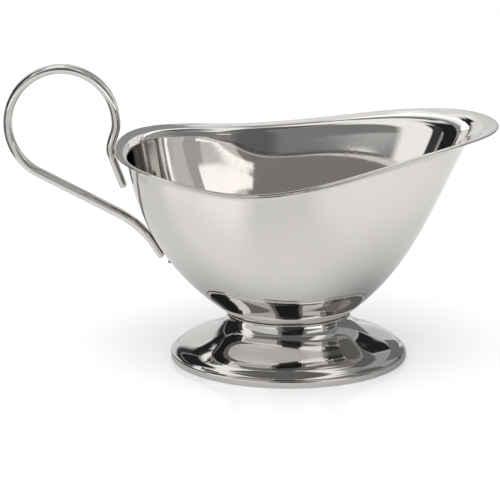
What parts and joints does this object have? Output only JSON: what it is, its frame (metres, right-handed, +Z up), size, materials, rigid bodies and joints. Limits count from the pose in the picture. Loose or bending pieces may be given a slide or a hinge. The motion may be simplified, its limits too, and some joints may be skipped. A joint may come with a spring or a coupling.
{
  "type": "sauce boat",
  "caption": "Footed sauce boat in polished steel, with a flared lip, a long pouring spout, a hollow oval foot and a looped bar handle.",
  "frame": {"origin": "bottom centre of the bounding box, on the plane that the foot stands on", "axes": "+Z up, +X along the boat towards the spout, the handle towards -X, +Y across the bowl"},
  "size_m": [0.1958, 0.0932, 0.1224],
  "materials": {
    "polished_steel": "mirror-polished stainless steel, unplated",
    "weld_metal": "brushed weld bead in stainless steel"
  },
  "bodies": {
    "root": {"bowl": "polished_steel", "foot": "polished_steel", "handle": "polished_steel", "upper_weld": "weld_metal", "lower_weld": "weld_metal", "foot_weld": "weld_metal"}
  },
  "joints": []
}
